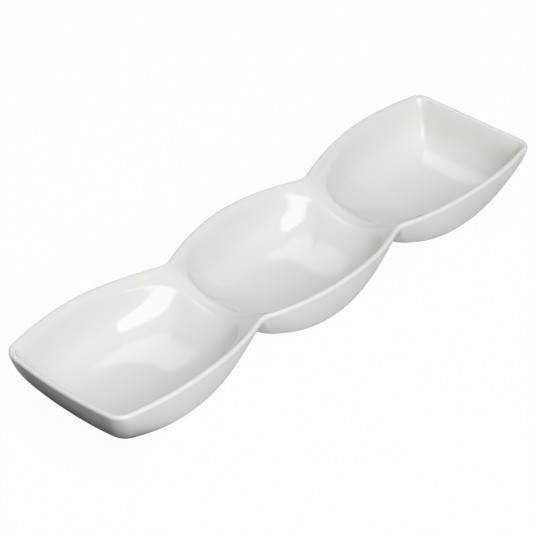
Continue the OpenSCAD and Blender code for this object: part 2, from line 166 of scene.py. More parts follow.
@dataclass
class DishForm:
    """The form of the whole dish, as surfaces stretched from its rim line.

    The sizes are those of the CAD model, but for a thinner lip, slightly different floors and
    inner walls, and rounder valleys and crests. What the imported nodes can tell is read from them.
    Angles are in degrees.
    """

    overall_length: float = 380.0 * MM
    bowl_pitch: float = 134.5 * MM
    middle_bowl_width: float = 106.0 * MM
    end_bowl_width: float = 107.0 * MM
    rim_height: float = 38.5 * MM
    middle_side_radius: float = 149.0 * MM
    end_side_radius: float = 190.0 * MM
    end_edge_radius: float = 500.0 * MM
    corner_radius: float = 9.5 * MM
    waist_radius: float = 13.5 * MM
    waist_dip: float = 1.8 * MM
    end_rise: float = 1.5 * MM
    end_dip: float = 1.8 * MM
    lip_radius: float = 1.6 * MM
    floor_thickness: float = 4.0 * MM
    inner_lean: float = 36.0
    outer_lean: float = 10.5
    middle_floor: tuple[float, float] = (26.0 * MM, 38.0 * MM)
    end_floor: tuple[float, float] = (29.0 * MM, 34.0 * MM)
    end_floor_inset: float = 4.5 * MM
    divider_sag: float = 14.0 * MM
    divider_thickness: float = 5.5 * MM
    crest_reach: float = 7.5 * MM
    sag_spread: float = 28.0 * MM
    under_edge_round: float = 4.0 * MM
    middle_base: tuple[float, float] = (67.0 * MM, 71.5 * MM)
    end_base: tuple[float, float] = (66.0 * MM, 67.0 * MM)
    end_base_inset: float = 9.0 * MM
    foot_height: float = 1.5 * MM
    foot_width: float = 3.5 * MM
    foot_inset: float = 2.0 * MM
    waist_fade: float = 30.0 * MM
    waist_turn: float = 20.0 * MM
    floor_squareness: float = 2.2
    base_squareness: float = 2.35
    crest_squareness: float = 1.15
    inner_drop_share: float = 0.44
    inner_spread_share: float = 0.98
    outer_drop_share: float = 0.4
    outer_spread_share: float = 0.55
    flank_spread_share: float = 0.8
    under_reach_share: float = 0.1
    under_spread_share: float = 0.6
    crest_step_power: float = 1.3
    seam_match_share: float = 0.6
    least_roll: float = 0.1
    least_drop_share: float = 0.01
    crest_steps: int = 8 * FINENESS
    under_edge_steps: int = 3 * FINENESS
    waist_steps: int = 5 * FINENESS
    side_steps: int = 12 * FINENESS
    corner_steps: int = 6 * FINENESS
    end_steps: int = 6 * FINENESS
    lip_steps: int = 4 * FINENESS
    wall_steps: int = 9 * FINENESS
    seam_wall_steps: int = 5 * FINENESS
    valley_before: int = 5 * FINENESS
    valley_after: int = 9 * FINENESS
    ridge_before: int = 4 * FINENESS
    ridge_after: int = 6 * FINENESS
    valley_rings: float = 1.0 * FINENESS
    ridge_rings: float = 5.0 * FINENESS

    def __post_init__(self) -> None:
        """Works out the arcs of the rim line and the plans of the bowls."""
        self.seam_ring = self.lip_steps + self.seam_wall_steps
        self.seam_column = self.crest_steps + self.waist_steps
        self.seam_corner = self.crest_steps - self.under_edge_steps
        self.ring_count = self.lip_steps + self.wall_steps + 1
        self.line_half_length = self.overall_length / 2 - self.lip_radius
        self.middle_line_half = self.middle_bowl_width / 2 - self.lip_radius
        self.end_line_half = self.end_bowl_width / 2 - self.lip_radius
        self.floor_height = self.foot_height + self.floor_thickness
        self.middle_centre = np.array([0.0, self.middle_line_half - self.middle_side_radius])
        self.end_centre = np.array([self.bowl_pitch, self.end_line_half - self.end_side_radius])
        self.edge_centre = np.array([self.line_half_length - self.end_edge_radius, 0.0])
        self.waist_centre = circles_meet(
            self.middle_centre, self.middle_side_radius + self.waist_radius,
            self.end_centre, self.end_side_radius + self.waist_radius,
        )
        self.corner_centre = circles_meet(
            self.end_centre, self.end_side_radius - self.corner_radius,
            self.edge_centre, self.end_edge_radius - self.corner_radius,
        )
        self.waist_x = float(self.waist_centre[0])
        self.waist_half = float(self.waist_centre[1]) - self.waist_radius
        self.waist_point = np.array([self.waist_x, self.waist_half])
        self.middle_side_end = toward(
            self.middle_centre, self.waist_centre, self.middle_side_radius
        )
        self.end_side_start = toward(self.end_centre, self.waist_centre, self.end_side_radius)
        self.end_side_end = toward(self.end_centre, self.corner_centre, self.end_side_radius)
        self.edge_start = toward(self.edge_centre, self.corner_centre, self.end_edge_radius)
        self.plans = {
            BowlKind.MIDDLE: BowlPlan(
                1.0, 0.0, tuple(s / 2 for s in self.middle_floor),
                0.0, tuple(s / 2 for s in self.middle_base),
            ),
            BowlKind.END: BowlPlan(
                -1.0, self.bowl_pitch - self.end_floor_inset, tuple(s / 2 for s in self.end_floor),
                self.bowl_pitch - self.end_base_inset, tuple(s / 2 for s in self.end_base),
            ),
        }

    @classmethod
    def from_frame(cls) -> "DishForm":
        """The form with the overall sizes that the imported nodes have.

        Returns:
            The form.
        """
        end_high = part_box("right_bowl")[1]
        middle_low, middle_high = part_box("middle_bowl")
        return cls(
            overall_length=2.0 * round(end_high.x, BOX_DIGITS),
            middle_bowl_width=2.0 * round(middle_high.y, BOX_DIGITS),
            foot_height=round(middle_low.z, BOX_DIGITS),
            rim_height=round(middle_high.z, BOX_DIGITS),
        )

    def arc(
        self, centre: Array, radius: float, start: Array, end: Array, steps: int,
        before: float, facing: float,
    ) -> RimRun:
        """Samples along an arc of the rim line, after its start.

        Args:
            centre: Centre of the arc.
            radius: Its radius.
            start: Where it starts.
            end: Where it ends.
            steps: How many samples it has.
            before: Distance from the waist to its start.
            facing: 1 where the arc curves outward and -1 where it curves inward.

        Returns:
            The run of samples.
        """
        first = math.atan2(*(start - centre)[::-1])
        turn = wrapped(math.atan2(*(end - centre)[::-1]) - first)
        share = np.arange(1, steps + 1) / steps
        angle = first + turn * share
        ray = np.stack([np.cos(angle), np.sin(angle)], axis=1)
        return RimRun(centre + radius * ray, facing * ray, before + radius * abs(turn) * share)

    def crest_run(self, sign: float) -> RimRun:
        """Samples along the crest of a divider, from its middle to the waist.

        Args:
            sign: Which way along X the bowl looks at the divider.

        Returns:
            The run of samples.
        """
        share = np.arange(self.crest_steps + 1) / self.crest_steps
        y = self.waist_half * (1.0 - (1.0 - share) ** self.crest_step_power)
        normal = np.tile([sign, 0.0], (len(y), 1))
        return RimRun(
            np.stack([np.full_like(y, self.waist_x), y], axis=1), normal, y - self.waist_half
        )

    def rim_run(self, kind: BowlKind) -> RimRun:
        """Samples from the middle of a crest to where the bowl's outline repeats itself.

        Args:
            kind: Which bowl.

        Returns:
            A quarter of the middle bowl's outline, or half of an end bowl's.
        """
        middle = kind is BowlKind.MIDDLE
        first_end = self.middle_side_end if middle else self.end_side_start
        arcs = [(self.waist_centre, self.waist_radius, first_end, self.waist_steps)]
        if middle:
            side_end = np.array([0.0, self.middle_line_half])
            arcs.append((self.middle_centre, self.middle_side_radius, side_end, self.side_steps))
        else:
            edge_end = np.array([self.line_half_length, 0.0])
            arcs += [
                (self.end_centre, self.end_side_radius, self.end_side_end, self.side_steps),
                (self.corner_centre, self.corner_radius, self.edge_start, self.corner_steps),
                (self.edge_centre, self.end_edge_radius, edge_end, self.end_steps),
            ]
        run = self.crest_run(self.plans[kind].divider_sign)
        start, before, facing = self.waist_point, 0.0, -1.0
        for centre, radius, end, steps in arcs:
            part = self.arc(centre, radius, start, end, steps, before, facing)
            run, start, before, facing = run.joined(part), end, part.distance[-1], 1.0
        return run

    def half_width(self, x: Array) -> Array:
        """Half width of the rim line at places along the row.

        Args:
            x: Distance of each place from the middle of the row.

        Returns:
            The half width at each place.
        """
        middle = self.middle_centre[1] + np.sqrt(np.maximum(self.middle_side_radius**2 - x**2, 0))
        waist = self.waist_centre[1] - np.sqrt(
            np.maximum(self.waist_radius**2 - (x - self.waist_x) ** 2, 0)
        )
        end_x = np.minimum(x, self.end_side_end[0]) - self.bowl_pitch
        end = self.end_centre[1] + np.sqrt(np.maximum(self.end_side_radius**2 - end_x**2, 0))
        return np.where(
            x < self.middle_side_end[0], middle, np.where(x < self.end_side_start[0], waist, end)
        )

    def side_height(self, x: Array) -> Array:
        """Height of the rim along the sides.

        Args:
            x: Distance of each place from the middle of the row.

        Returns:
            The height of the rim line at each place.
        """
        low = self.rim_height - self.waist_dip
        middle = self.rim_height - self.waist_dip * eased(x / self.waist_x)
        climb = eased((x - self.waist_x) / (self.bowl_pitch - self.waist_x))
        return np.where(x < self.waist_x, middle, low + (self.waist_dip + self.end_rise) * climb)

    def guide_height(self, places: Array) -> Array:
        """Height of the surface that is stretched over the rim.

        Args:
            places: Points in plan, along the last axis.

        Returns:
            The height at each point: it sags over the dividers and at the ends.
        """
        x, y = places[..., 0], places[..., 1]
        across = np.maximum(0.0, 1.0 - (y / self.half_width(x)) ** 2)
        sag = self.divider_sag * np.exp(-(((x - self.waist_x) / self.sag_spread) ** 2))
        past = eased((x - self.bowl_pitch) / (self.line_half_length - self.bowl_pitch))
        dip = self.end_dip * past * np.maximum(0.0, 1.0 - (y / self.end_side_end[1]) ** 2)
        return self.side_height(x) - sag * across**self.crest_squareness - dip

    @staticmethod
    def oval_point(way: Array, half: tuple[float, float], power: float) -> Array:
        """Points of an oval in the directions of way.

        Args:
            way: Directions in plan.
            half: Half sizes of the oval.
            power: Squareness: 2 is an ellipse, larger is more square.

        Returns:
            The points, from the oval's centre.
        """
        u = unit(way)
        size = np.abs(u[..., 0] / half[0]) ** power + np.abs(u[..., 1] / half[1]) ** power
        return u * (size ** (-1.0 / power))[..., None]

    @staticmethod
    def oval_normal(point: Array, half: tuple[float, float], power: float) -> Array:
        """Outward normals of an oval at its points.

        Args:
            point: Points of the oval, from its centre.
            half: Half sizes of the oval.
            power: Its squareness.

        Returns:
            The normals.
        """
        slope = np.sign(point) * np.abs(point / np.array(half)) ** (power - 1.0)
        return unit(slope / np.array(half))

    def landing(
        self, start: Array, x: float, half: tuple[float, float], power: float
    ) -> tuple[Array, Array, Array]:
        """Where the walls of a bowl land on a level oval.

        Args:
            start: Where each column starts.
            x: Place of the oval's centre along the row.
            half: Half sizes of the oval.
            power: Its squareness.

        Returns:
            The ends in plan, the oval's outward normals there, and how far in plan each column
            reaches.
        """
        centre = np.array([x, 0.0])
        line = start[:, :2] - centre
        edge = self.oval_point(line, half, power)
        reach = np.linalg.norm(line - edge, axis=1)
        return centre + edge, self.oval_normal(edge, half, power), reach

    def openness(self, distance: Array) -> Array:
        """How open the wall is: 1 on a crest, fading to 0 along the rim."""
        return 1.0 - eased(distance / self.waist_fade)

    def inner_heading(self, rim: RimRun, sign: float) -> Array:
        """Outward heading of the inside, which turns from along the row to across it.

        Args:
            rim: Samples of the rim line.
            sign: Which way along X the bowl looks at the divider.

        Returns:
            A heading for each sample.
        """
        quarter = QUARTER_TURN * eased((rim.distance + self.waist_turn) / (2 * self.waist_turn))
        across = np.where(rim.distance[:, None] <= 0, np.array([0.0, 1.0]), rim.normal)
        along = np.array([sign, 0.0])
        return unit(along * np.cos(quarter)[:, None] + across * np.sin(quarter)[:, None])

    def inner_sheet(self, kind: BowlKind) -> Array:
        """The inside of a bowl, from the top of its lip to the edge of its level floor.

        Args:
            kind: Which bowl.

        Returns:
            Points by column and ring.
        """
        plan, rim = self.plans[kind], self.rim_run(kind)
        open_share = self.openness(rim.distance)
        out = self.inner_heading(rim, plan.divider_sign)
        roll = np.maximum((90.0 - self.inner_lean) * (1.0 - open_share), self.least_roll)
        roll_radius = self.lip_radius * 90.0 / roll
        roll = np.radians(roll)
        angle = roll[:, None] * np.arange(self.lip_steps + 1) / self.lip_steps
        reach_in = roll_radius[:, None] * np.sin(angle)
        lip_plan = rim.point[:, None] - out[:, None] * reach_in[..., None]
        lip_z = self.guide_height(lip_plan) - roll_radius[:, None] * (1.0 - np.cos(angle))
        lip = raised(lip_plan, lip_z)
        start = lip[:, -1]
        edge, edge_out, reach = self.landing(
            start, plan.floor_x, plan.floor_half, self.floor_squareness
        )
        drop = blend(
            self.inner_drop_share * (start[:, 2] - self.floor_height), self.crest_reach, open_share
        )
        spread = blend(self.inner_spread_share, self.flank_spread_share, open_share) * reach
        down = raised(-out * np.cos(roll)[:, None], -np.sin(roll))
        wall = self.wall(
            start, down * drop[:, None], edge, edge_out * spread[:, None], self.floor_height
        )
        share = np.arange(1, self.wall_steps + 1) / self.wall_steps
        guide = self.guide_height(wall[..., :2]) - self.guide_height(start[:, :2])[:, None]
        wall[..., 2] += guide * (1.0 - eased(share))
        return self.filleted(
            np.concatenate([lip, wall], axis=1), self.valley_before, self.valley_after,
            self.valley_rings,
        )

    def filleted(self, sheet: Array, before: int, after: int, rings: float) -> Array:
        """A sheet with a fillet along the waist's column, where a divider meets the side.

        Args:
            sheet: Points by column and ring, with a sharp edge down the waist's column.
            before: Columns that the fillet takes up on the divider.
            after: Columns that it takes up on the side.
            rings: Rings below the lip over which it widens.

        Returns:
            The sheet, with a fillet that widens down from the lip.
        """
        corner, columns = self.crest_steps, np.arange(len(sheet))
        rounded = sheet.copy()
        for ring in range(self.lip_steps + 1, self.ring_count):
            width = min((ring - self.lip_steps) / rings, 1.0)
            first, last = corner - before * width, corner + after * width
            index = columns[(columns > first) & (columns < last)]
            share = np.where(
                index < corner,
                (index - first) / (2 * (corner - first)),
                1 - (last - index) / (2 * (last - corner)),
            )[:, None]
            a, c = (
                np.array([np.interp(at, columns, sheet[:, ring, axis]) for axis in range(3)])
                for at in (first, last)
            )
            b = sheet[corner, ring]
            rounded[index, ring] = a * (1 - share) ** 2 + b * 2 * share * (1 - share) + c * share**2
        return rounded

    def wall(
        self, start: Array, handle: Array, edge: Array, edge_handle: Array, height: float
    ) -> Array:
        """Walls from below the lip to a level oval, each a cubic curve.

        Args:
            start: Where each column starts.
            handle: Its first handle, from the start.
            edge: Where it ends, in plan.
            edge_handle: Its last handle, from the end, in plan.
            height: Height of the oval.

        Returns:
            Points by column and ring, without the start.
        """
        far = (np.arange(1, self.wall_steps + 1) / self.wall_steps)[None, :, None]
        near = 1.0 - far
        a, b = start, start + handle
        c, d = raised(edge + edge_handle, height), raised(edge, height)
        return (
            a[:, None] * near**3 + b[:, None] * 3 * far * near**2
            + c[:, None] * 3 * far**2 * near + d[:, None] * far**3
        )

    def outer_lip(self, rim: RimRun) -> Array:
        """The outside of the lip, from its top round to the wall.

        Args:
            rim: Samples of the rim line.

        Returns:
            Points by column and ring.
        """
        steps = np.arange(self.lip_steps + 1)
        lean = math.radians(self.outer_lean)
        angle = np.where(
            steps < self.lip_steps, QUARTER_TURN * steps / (self.lip_steps - 1), QUARTER_TURN + lean
        )
        out_by, down_by = np.sin(angle), 1.0 - np.cos(angle)
        top = self.guide_height(rim.point)
        lip_plan = rim.point[:, None] + rim.normal[:, None] * (self.lip_radius * out_by)[:, None]
        lip = raised(lip_plan, top[:, None] - self.lip_radius * down_by)
        lip[self.crest_steps, :, 0] = self.waist_x
        lip[self.crest_steps, :, 1] = self.waist_half + self.lip_radius * out_by
        return lip

    def underside(self, index: Array, edge: Array) -> tuple[Array, Array]:
        """The underside of a divider, from below the middle of its crest to the lip at the waist.

        Args:
            index: Numbers of the columns.
            edge: Lower end of the lip at the waist.

        Returns:
            A point for each column, and how far the surface has turned there from level to upright.
        """
        level_half = edge[1] - self.under_edge_round
        bend = QUARTER_TURN * np.clip((index - self.seam_corner) / self.under_edge_steps, 0.0, 1.0)
        y = np.where(
            index <= self.seam_corner, level_half * index / self.seam_corner,
            level_half + self.under_edge_round * np.sin(bend),
        )
        x = np.full(len(index), self.waist_x)
        under_plan = np.stack([x, np.minimum(y, self.waist_half)], axis=1)
        level = self.guide_height(under_plan) - self.divider_thickness
        edge_level = self.guide_height(self.waist_point) - self.divider_thickness
        z = level + (edge[2] - edge_level) * (1.0 - np.cos(bend))
        return np.stack([x, y, z], axis=1), bend

    def outer_sheet(self, kind: BowlKind) -> Array:
        """The outside of a bowl, from the top of its lip to the edge of its level base.

        A column on the crest has no lip: it starts on the underside of the divider.

        Args:
            kind: Which bowl.

        Returns:
            Points by column and ring.
        """
        plan, rim = self.plans[kind], self.rim_run(kind)
        sign = plan.divider_sign
        count = len(rim.distance)
        index = np.arange(count)
        open_share = self.openness(rim.distance)
        lean = math.radians(self.outer_lean)
        lip = self.outer_lip(rim)
        under, bend = self.underside(index, lip[self.crest_steps, -1])
        on_crest = index < self.crest_steps
        lip[on_crest] = under[on_crest][:, None]
        start = lip[:, -1]

        crest = (index <= self.crest_steps)[:, None]
        away = np.where(
            crest, np.array([-sign, 0.0]),
            np.stack([rim.normal[:, 1], -rim.normal[:, 0]], axis=1) * -sign,
        )
        crest_down = unit(np.stack([
            np.zeros(count), -self.under_edge_round * np.cos(bend),
            -self.divider_thickness * np.maximum(np.sin(bend), self.least_drop_share),
        ], axis=1))
        wall_down = raised(-rim.normal * math.sin(lean), -math.cos(lean))
        downhill = np.where(crest, crest_down, wall_down)
        turn = np.where(
            crest[:, 0], bend / 2, QUARTER_TURN / 2 * (1.0 + eased(rim.distance / self.waist_fade))
        )
        down = unit(raised(away, 0.0) * np.cos(turn)[:, None] + downhill * np.sin(turn)[:, None])
        edge, edge_out, reach = self.landing(
            start, plan.base_x, plan.base_half, self.base_squareness
        )
        drop = blend(
            self.outer_drop_share * (start[:, 2] - self.foot_height),
            self.under_reach_share * reach, open_share,
        )
        spread = blend(self.outer_spread_share, self.under_spread_share, open_share) * reach
        wall = self.wall(
            start, down * drop[:, None], edge, edge_out * spread[:, None], self.foot_height
        )
        return self.filleted(
            np.concatenate([lip, wall], axis=1), self.ridge_before, self.ridge_after,
            self.ridge_rings,
        )


@dataclass
class Shell:
    """One piece of the dish as a closed mesh: the skin that shows and the seams that don't."""

    points: list[Array] = field(default_factory=list)
    lip_share: list[Array] = field(default_factory=list)
    pool_share: list[Array] = field(default_factory=list)
    skin: list[tuple[int, ...]] = field(default_factory=list)
    seams: list[tuple[int, ...]] = field(default_factory=list)

    def closed(self) -> "Shell":
        """Drops collapsed faces and turns every face outward.

        Returns:
            The shell itself.
        """
        points = np.concatenate(self.points)
        self.skin, self.seams = (
            [face for face in map(whole, faces) if face] for faces in (self.skin, self.seams)
        )
        volume = 0.0
        for face in self.skin + self.seams:
            a = points[face[0]]
            for b, c in zip(face[1:-1], face[2:]):
                volume += float(np.dot(a, np.cross(points[b], points[c])))
        if volume < 0:
            self.skin = [face[::-1] for face in self.skin]
            self.seams = [face[::-1] for face in self.seams]
        return self

    def mirrored(self) -> "Shell":
        """The same piece at the other end of the row, with its faces still turned outward.

        Returns:
            The mirrored shell.
        """
        return Shell(
            [p * [-1.0, 1.0, 1.0] for p in self.points], self.lip_share, self.pool_share,
            [face[::-1] for face in self.skin], [face[::-1] for face in self.seams],
        )


def whole(face: tuple[int, ...]) -> tuple[int, ...]:
    """A face without repeated corners, or nothing where less than a triangle is left."""
    kept = tuple(dict.fromkeys(face))
    return kept if len(kept) > 2 else ()


def cell(at: Callable[[int, int], int], i: int, k: int) -> tuple[int, int, int, int]:
    """The corners of the cell after column i and ring k, in order round it."""
    return at(i, k), at(i + 1, k), at(i + 1, k + 1), at(i, k + 1)


class DishShells:
    """Builds the closed shells of the bowls and the dividers from one form."""

    # How far down the wall the lip's look reaches, in lip radiuses
    LIP_REACH = 3.0
    # A column whose lip is shorter than this many lip radiuses has none
    LEAST_LIP = 0.1
    # How high up the wall the glaze pools, as a share of the bowl's depth
    POOL_SHARE = 0.35

    def __init__(self, form: DishForm) -> None:
        """Keeps the form and works out its sheets once.

        Args:
            form: The form of the dish.
        """
        self.form = form
        self.inner = {kind: form.inner_sheet(kind) for kind in BowlKind}
        self.outer = {kind: form.outer_sheet(kind) for kind in BowlKind}

    def matched(self, column: int) -> int:
        """Column of the outside that meets a column of the inside along a divider's foot."""
        form = self.form
        return min(math.floor(column * form.seam_match_share + 0.5), form.seam_corner)

    def foot_seam(
        self, inner_at: Callable[[int], int], outer_at: Callable[[int], int]
    ) -> list[tuple[int, ...]]:
        """The seam along the foot of a divider.

        Args:
            inner_at: Gives the point of a column on the inside, counted from the crest's middle.
            outer_at: The same for the outside.

        Returns:
            The faces of the seam.
        """
        last, corner = self.form.seam_column, self.form.seam_corner
        faces = []
        for side in (-1, 1):
            for i in range(last):
                near, far = self.matched(i), self.matched(i + 1)
                face = (
                    inner_at(side * i), inner_at(side * (i + 1)), outer_at(side * far),
                    outer_at(side * near),
                )
                faces.append(face[::side])
            for j in range(corner, last):
                face = (inner_at(side * last), outer_at(side * (j + 1)), outer_at(side * j))
                faces.append(face[::side])
        return faces

    def side_seam(
        self, inner_at: Callable[[int], int], outer_at: Callable[[int], int]
    ) -> list[tuple[int, ...]]:
        """The seam down the side of a divider, from the lip to its foot.

        Args:
            inner_at: Gives the point of a ring on the inside.
            outer_at: The same for the outside.

        Returns:
            The faces of the seam.
        """
        return [
            (inner_at(k + 1), outer_at(k + 1), outer_at(k), inner_at(k))
            for k in range(self.form.seam_ring)
        ]

    @staticmethod
    def around(kind: BowlKind, sheet: Array) -> Array:
        """Columns all the way round a bowl from the part of them that doesn't repeat.

        Args:
            kind: Which bowl.
            sheet: A quarter of the middle bowl, or half of an end bowl.

        Returns:
            Points by column and ring.
        """
        half = sheet
        if kind is BowlKind.MIDDLE:
            half = np.concatenate([sheet, sheet[-2::-1] * [-1.0, 1.0, 1.0]])
        return np.concatenate([half, half[-2:0:-1] * [1.0, -1.0, 1.0]])

    def lip_shares(self, sheet: Array, outside: bool) -> Array:
        """How near each point is to the top of the lip: 1 on it, fading down the wall.

        Args:
            sheet: Points by column and ring.
            outside: Whether the sheet is the outside.

        Returns:
            A share for each point.
        """
        form = self.form
        steps = np.linalg.norm(np.diff(sheet, axis=1), axis=2)
        run = np.concatenate([np.zeros((len(sheet), 1)), np.cumsum(steps, axis=1)], axis=1)
        share = np.exp(-((run / (self.LIP_REACH * form.lip_radius)) ** 2))
        if outside:
            lip_length = steps[:, : form.lip_steps].sum(axis=1)
            share[lip_length < self.LEAST_LIP * form.lip_radius] = 0.0
        return share

    def pool_shares(self, sheet: Array) -> Array:
        """How deep the glaze pools: most where the walls turn into the floor.

        Args:
            sheet: Points of the inside by column and ring.

        Returns:
            A share for each point.
        """
        height = sheet[..., 2] - self.form.floor_height
        depth = self.form.rim_height - self.form.floor_height
        return np.exp(-((height / (self.POOL_SHARE * depth)) ** 2))

    def laid(self, sheets: list[Array]) -> Shell:
        """A shell with the points and shares of its sheets, and no faces yet.

        Args:
            sheets: The inside, then the outside, by turns.

        Returns:
            The shell.
        """
        shell = Shell()
        for n, sheet in enumerate(sheets):
            outside = n % 2 == 1
            pools = np.zeros(sheet.shape[:2]) if outside else self.pool_shares(sheet)
            shell.points.append(sheet.reshape(-1, 3))
            shell.lip_share.append(self.lip_shares(sheet, outside).ravel())
            shell.pool_share.append(pools.ravel())
        return shell

    def bowl(self, kind: BowlKind) -> Shell:
        """A bowl: inside, lip, outside, level floor and base, and the seams to its dividers.

        Args:
            kind: Which bowl.

        Returns:
            The shell, at the right-hand end for an end bowl.
        """
        form, plan = self.form, self.form.plans[kind]
        inner = self.around(kind, self.inner[kind])
        outer = self.around(kind, self.outer[kind])
        count, rings, last = len(inner), form.ring_count, form.ring_count - 1
        crests = [0] if kind is BowlKind.END else [0, 2 * (len(self.inner[kind]) - 1)]

        def at_inner(i: int, k: int) -> int:
            """Number of a point on the inside."""
            return (i % count) * rings + k

        def at_outer(i: int, k: int) -> int:
            """Number of a point on the outside, which shares the top of the lip."""
            return at_inner(i, 0) if k == 0 else (count + i % count) * rings + k

        def in_divider(i: int) -> bool:
            """Whether the cell after a column belongs to a divider above the seam.

            Args:
                i: The column.

            Returns:
                True for a divider's cell.
            """
            return any(
                -form.seam_column <= (i - c + count // 2) % count - count // 2 < form.seam_column
                for c in crests
            )

        shell = self.laid([inner, outer])
        shell.points.append(
            np.array([[plan.floor_x, 0.0, form.floor_height], [plan.base_x, 0.0, form.foot_height]])
        )
        shell.lip_share.append(np.zeros(2))
        shell.pool_share.append(np.array([1.0, 0.0]))
        floor_centre = 2 * count * rings
        base_centre = floor_centre + 1
        for i in range(count):
            first = form.seam_ring if in_divider(i) else 0
            for k in range(first, last):
                a, b, c, d = cell(at_inner, i, k)
                shell.skin += [(a, d, c, b), cell(at_outer, i, k)]
            shell.skin.append((at_inner(i, last), floor_centre, at_inner(i + 1, last)))
            shell.skin.append((at_outer(i, last), at_outer(i + 1, last), base_centre))
        for crest in crests:
            shell.seams += self.foot_seam(
                lambda i, c=crest: at_inner(c + i, form.seam_ring),
                lambda i, c=crest: at_outer(c + i, form.seam_ring),
            )
            for side in (-1, 1):
                i = crest + side * form.seam_column
                seam = self.side_seam(partial(at_inner, i), partial(at_outer, i))
                shell.seams += [face[::-side] for face in seam]
        return shell.closed()

    def divider(self) -> Shell:
        """The divider between the middle bowl and the right one.

        Returns:
            The shell: both flanks, both undersides and the waist lips at its ends.
        """
        form = self.form
        rings, span = form.ring_count, form.seam_column
        count = 2 * span + 1

        def across(sheet: Array) -> Array:
            """The columns of a divider on one side of its crest."""
            kept = sheet[: span + 1]
            return np.concatenate([kept[:0:-1] * [1.0, -1.0, 1.0], kept])

        kinds = (BowlKind.MIDDLE, BowlKind.END)
        sheets = [across(s[kind]) for kind in kinds for s in (self.inner, self.outer)]
        size = count * rings

        def at_inner(side: int, i: int, k: int) -> int:
            """Number of a point on top, with its sides, columns and rings as underneath."""
            shared = k == 0 and abs(i) <= form.crest_steps
            return (0 if shared else 2 * side) * size + (i + span) * rings + k

        def at_outer(side: int, i: int, k: int) -> int:
            """Number of a point underneath.

            Args:
                side: 0 for the middle bowl's side and 1 for the end bowl's.
                i: Its column, counted from the crest's middle.
                k: Its ring.

            Returns:
                The number, which is the top's own where the two sheets meet.
            """
            if k == 0:
                return at_inner(side, i, 0)
            shared = (k == form.lip_steps and abs(i) <= form.crest_steps) or (
                k <= form.lip_steps and abs(i) == form.crest_steps
            )
            return ((0 if shared else 2 * side) + 1) * size + (i + span) * rings + k

        shell = self.laid(sheets)
        for side in (0, 1):
            turn = 1 if side else -1
            for i in range(-span, span):
                crest_cell = abs(i) <= form.crest_steps and abs(i + 1) <= form.crest_steps
                for k in range(form.seam_ring):
                    shell.skin.append(cell(partial(at_inner, side), i, k)[::turn])
                    if k >= form.lip_steps or not crest_cell:
                        shell.skin.append(cell(partial(at_outer, side), i, k)[::-turn])
            shell.seams += [
                face[::turn] for face in self.foot_seam(
                    lambda i, s=side: at_inner(s, i, form.seam_ring),
                    lambda i, s=side: at_outer(s, i, form.seam_ring),
                )
            ]
            for i in (-span, span):
                seam = self.side_seam(partial(at_inner, side, i), partial(at_outer, side, i))
                shell.seams += [face[:: -turn if i > 0 else turn] for face in seam]
        return shell.closed()


@dataclass
class FootRing:
    """An unglazed ring under a bowl, with the edges softened as by the wheel that grinds it."""

    form: DishForm
    plan: BowlPlan
    edge_round: float = 0.5 * MM
    round_steps: int = 4
    points_round: int = 240

    def section(self) -> list[tuple[float, float]]:
        """Section of the ring as inset from the base's oval and height.

        Returns:
            The points, from the outer top round the bare face to the inner top.
        """
        form, r = self.form, self.edge_round
        outer, inner = form.foot_inset, form.foot_inset + form.foot_width
        quarter = [QUARTER_TURN * k / self.round_steps for k in range(self.round_steps + 1)]
        first = [(outer + r - r * math.cos(a), r - r * math.sin(a)) for a in quarter]
        second = [(inner - r + r * math.sin(a), r - r * math.cos(a)) for a in quarter]
        return [(outer, form.foot_height)] + first + second + [(inner, form.foot_height)]

    def shell(self) -> Shell:
        """The ring as a closed mesh, at the right-hand end for an end bowl.

        Returns:
            The shell of the ring.
        """
        angle = 2 * math.pi * np.arange(self.points_round) / self.points_round
        way = np.stack([np.cos(angle), np.sin(angle)], axis=1)
        rows = []
        for inset, height in self.section():
            half = tuple(size - inset for size in self.plan.base_half)
            oval = self.form.oval_point(way, half, self.form.base_squareness)
            rows.append(raised(oval + [self.plan.base_x, 0.0], height))
        count, n = len(rows), self.points_round
        shell = Shell(points=rows)
        for k in range(count):
            for i in range(n):
                j, after = (i + 1) % n, (k + 1) % count
                face = (k * n + i, k * n + j, after * n + j, after * n + i)
                (shell.seams if after == 0 else shell.skin).append(face)
        return shell.closed()


def skin_normals(shells: list[Shell]) -> list[Array]:
    """Normals of the dish as one skin, so that no seam shows where two pieces meet.

    Args:
        shells: All the pieces that make up the skin.

    Returns:
        For each shell, a normal for each of its points.
    """
    points = [np.concatenate(shell.points) for shell in shells]
    keys = np.round(np.concatenate(points) / WELD_GRID).astype(np.int64)
    _, number = np.unique(keys, axis=0, return_inverse=True)
    number = number.reshape(-1)
    total = np.zeros((number.max() + 1, 3))
    start = 0
    for shell, own in zip(shells, points):
        for corners in (3, 4):
            faces = np.array([f for f in shell.skin if len(f) == corners], dtype=int)
            if not len(faces):
                continue
            corner = own[faces]
            if corners == 3:
                across = np.cross(corner[:, 1] - corner[:, 0], corner[:, 2] - corner[:, 0])
            else:
                across = np.cross(corner[:, 3] - corner[:, 1], corner[:, 0] - corner[:, 2])
            for c in range(corners):
                np.add.at(total, number[start + faces[:, c]], across)
        start += len(own)
    length = np.linalg.norm(total, axis=1, keepdims=True)
    total = np.where(length > 0, total / np.maximum(length, TINY), [0.0, 0.0, 1.0])
    split, start = [], 0
    for own in points:
        split.append(total[number[start : start + len(own)]])
        start += len(own)
    return split


def linked(name: str, data: bpy.types.ID) -> bpy.types.Object:
    """A new object that shows some data, linked to the scene."""
    item = bpy.data.objects.new(name, data)
    bpy.context.scene.collection.objects.link(item)
    return item


